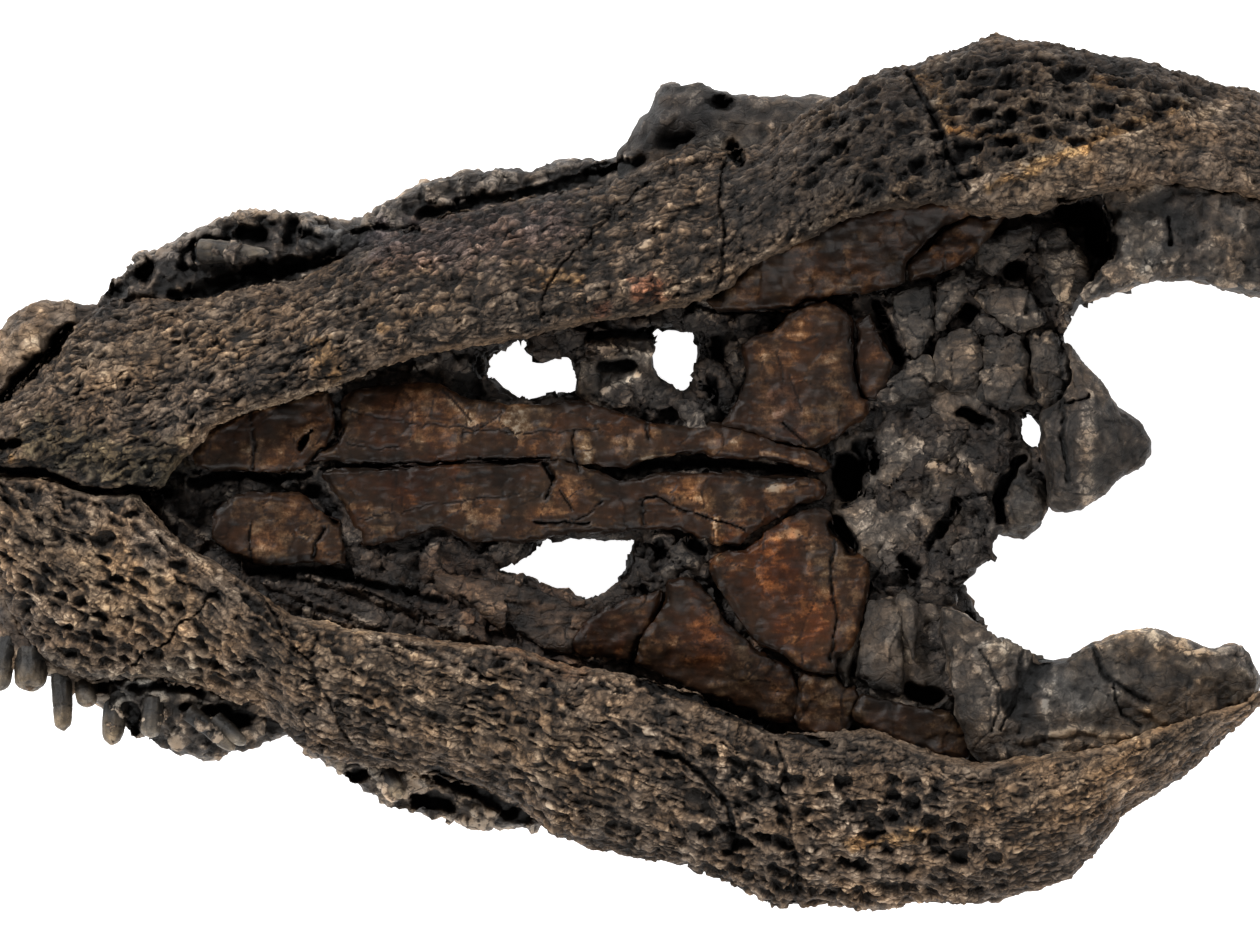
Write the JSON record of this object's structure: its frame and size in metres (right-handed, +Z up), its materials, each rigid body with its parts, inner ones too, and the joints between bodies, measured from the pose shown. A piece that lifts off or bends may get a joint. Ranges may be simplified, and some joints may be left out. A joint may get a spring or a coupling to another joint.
{
  "type": "fossil crocodilian skull",
  "caption": "Dark fossil crocodilian skull with the lower jaw in place, lying on its roof so that palate and jaw underside face up.",
  "frame": {"origin": "centre of the bounding box at floor level, under the skull", "axes": "+X from the snout to the back of the head, +Y to the animal's left, +Z up, towards the palate and the lower jaw"},
  "size_m": [0.35, 0.219, 0.0705],
  "materials": {
    "outer_bone": "matt, pitted and ridged fossil bone",
    "palate_bone": "smooth, slightly glossy red-brown fossil bone",
    "dark_bone": "rough dark fossil bone",
    "rock": "dull dark rock left between the bones"
  },
  "bodies": {
    "root": {"dentary_left": "outer_bone", "dentary_right": "outer_bone", "angular_left": "outer_bone", "angular_right": "outer_bone", "surangular_left": "outer_bone", "surangular_right": "outer_bone", "premaxilla_left": "outer_bone", "premaxilla_right": "outer_bone", "skull_table": "outer_bone", "frontal": "outer_bone", "nasals": "outer_bone", "prefrontal_left": "outer_bone", "prefrontal_right": "outer_bone", "postorbital_left": "outer_bone", "postorbital_right": "outer_bone", "pterygoid_left": "palate_bone", "pterygoid_right": "palate_bone", "palatine_left": "palate_bone", "palatine_right": "palate_bone", "ectopterygoid_right": "palate_bone", "splenial_left": "palate_bone", "splenial_right": "palate_bone", "pterygoid_left_edge": "palate_bone", "ectopterygoid_right_front": "palate_bone", "maxilla_shelf_left": "palate_bone", "maxilla_shelf_right": "palate_bone", "splenial_left_rear": "palate_bone", "splenial_right_front": "palate_bone", "ectopterygoid_left": "dark_bone", "quadrate_left": "dark_bone", "quadrate_right": "dark_bone", "articular_left": "dark_bone", "articular_right": "dark_bone", "maxilla_left": "dark_bone", "maxilla_right": "dark_bone", "jugal_left": "dark_bone", "jugal_right": "dark_bone", "braincase": "dark_bone", "palate_fragment": "dark_bone", "palate_shelf_right": "dark_bone", "splinter_front": "dark_bone", "splinter_middle": "dark_bone", "splinter_rear": "dark_bone", "ectopterygoid_left_rear": "dark_bone", "pterygoid_left_rear": "dark_bone", "otic_plate_left": "dark_bone", "quadratojugal_left": "dark_bone", "paroccipital_left": "dark_bone", "prootic_left": "dark_bone", "exoccipital_left": "dark_bone", "exoccipital_left_rear": "dark_bone", "rock_front": "rock", "rock_rear": "rock", "rock_left": "rock", "rock_right": "rock"}
  },
  "joints": []
}
